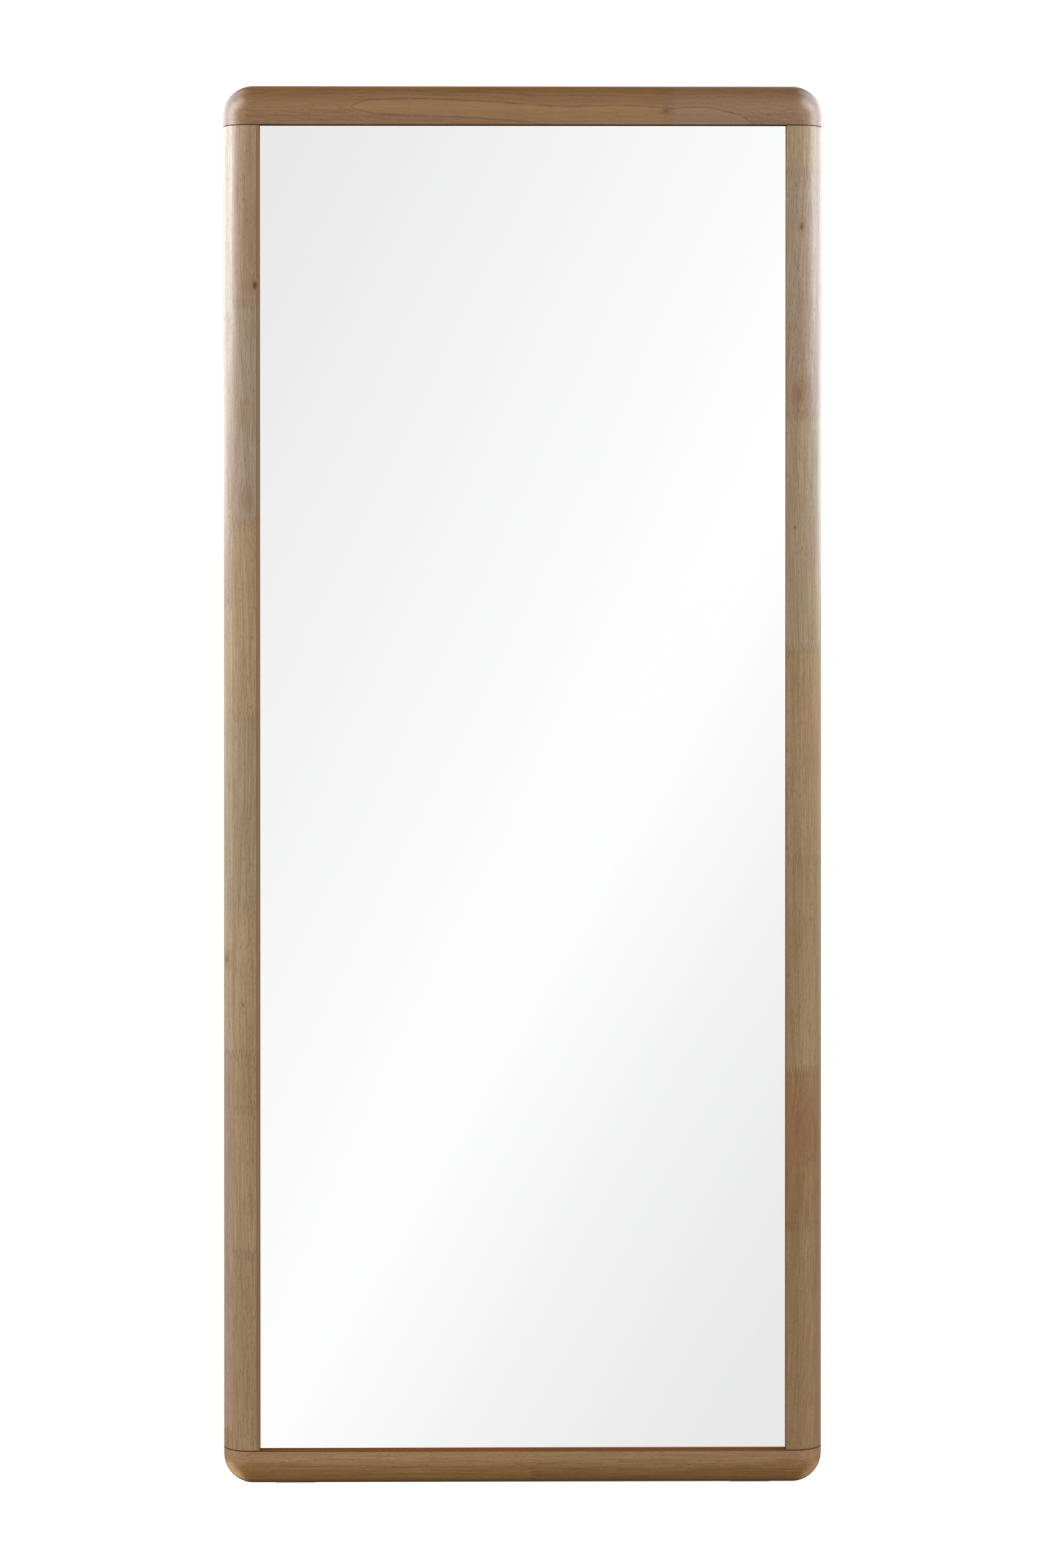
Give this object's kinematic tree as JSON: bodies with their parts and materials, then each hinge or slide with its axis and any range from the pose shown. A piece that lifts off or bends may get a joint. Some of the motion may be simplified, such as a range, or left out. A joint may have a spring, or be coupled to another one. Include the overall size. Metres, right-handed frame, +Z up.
{
  "type": "cheval floor mirror",
  "caption": "Tall floor mirror in a rounded wooden frame, standing on a hinged easel leg with slotted stays that folds flat behind it.",
  "frame": {"origin": "on the floor, under the middle of the standing object's box", "axes": "+Z up, +X to the right of a person facing the glass, the glass faces -Y and the leg stands towards +Y"},
  "size_m": [0.762, 0.3328, 1.7717],
  "materials": {
    "rubberwood": "finger-jointed light hardwood, tan-brown satin lacquer",
    "mirror_glass": "silvered clear glass, polished",
    "fibreboard": "raw medium-density fibreboard",
    "zinc_steel": "bright zinc plate",
    "rubber": "matte black",
    "foam": "closed-cell foam tape"
  },
  "bodies": {
    "mirror": {"back_board": "fibreboard", "board_screw_bottom": "zinc_steel", "board_screw_left_high": "zinc_steel", "board_screw_left_low": "zinc_steel", "board_screw_left_middle": "zinc_steel", "board_screw_right_high": "zinc_steel", "board_screw_right_low": "zinc_steel", "board_screw_right_middle": "zinc_steel", "board_screw_top": "zinc_steel", "bottom_left_tenon": "rubberwood", "bottom_rail": "rubberwood", "bottom_right_tenon": "rubberwood", "bottom_tape": "foam", "hinge_rail": "rubberwood", "left_frame_leaf_screw_inner": "zinc_steel", "left_frame_leaf_screw_outer": "zinc_steel", "left_frame_pad": "rubber", "left_hinge_frame_leaf": "zinc_steel", "left_hinge_pin": "zinc_steel", "left_stay_pivot": "zinc_steel", "left_stile": "rubberwood", "left_tape": "foam", "mirror_pane": "mirror_glass", "rail_screw_left_lower": "zinc_steel", "rail_screw_left_upper": "zinc_steel", "rail_screw_right_lower": "zinc_steel", "rail_screw_right_upper": "zinc_steel", "right_frame_leaf_screw_inner": "zinc_steel", "right_frame_leaf_screw_outer": "zinc_steel", "right_frame_pad": "rubber", "right_hinge_frame_leaf": "zinc_steel", "right_hinge_pin": "zinc_steel", "right_stay_pivot": "zinc_steel", "right_stile": "rubberwood", "right_tape": "foam", "top_left_tenon": "rubberwood", "top_rail": "rubberwood", "top_right_tenon": "rubberwood", "top_tape": "foam"},
    "leg": {"foot_rail": "rubberwood", "foot_rail_left_tenon": "rubberwood", "foot_rail_right_tenon": "rubberwood", "head_rail": "rubberwood", "head_rail_left_tenon": "rubberwood", "head_rail_right_tenon": "rubberwood", "left_foot_pad": "rubber", "left_hinge_leg_leaf": "zinc_steel", "left_leg": "rubberwood", "left_leg_leaf_screw_inner": "zinc_steel", "left_leg_leaf_screw_outer": "zinc_steel", "left_stay_guide": "zinc_steel", "right_foot_pad": "rubber", "right_hinge_leg_leaf": "zinc_steel", "right_leg": "rubberwood", "right_leg_leaf_screw_inner": "zinc_steel", "right_leg_leaf_screw_outer": "zinc_steel", "right_stay_guide": "zinc_steel"},
    "left_stay": {"left_stay_arm": "zinc_steel"},
    "right_stay": {"right_stay_arm": "zinc_steel"}
  },
  "joints": [
    {"name": "leg_fold", "type": "hinge", "parent": "mirror", "child": "leg", "pos_m": [0, 0.02635, 1.17306], "axis": [-1, 0, 0], "range_deg": [0, 13]},
    {"name": "left_stay_swing", "type": "hinge", "parent": "mirror", "child": "left_stay", "pos_m": [-0.34025, -0.01295, 1.09675], "axis": [-1, 0, 0], "range_deg": [0, 18.4]},
    {"name": "right_stay_swing", "type": "hinge", "parent": "mirror", "child": "right_stay", "pos_m": [0.34025, -0.01295, 1.09675], "axis": [-1, 0, 0], "range_deg": [0, 18.4]}
  ],
  "couplings": [
    {"joint": "left_stay_swing", "follows": "leg_fold", "ratio": 1.399},
    {"joint": "right_stay_swing", "follows": "leg_fold", "ratio": 1.399}
  ]
}
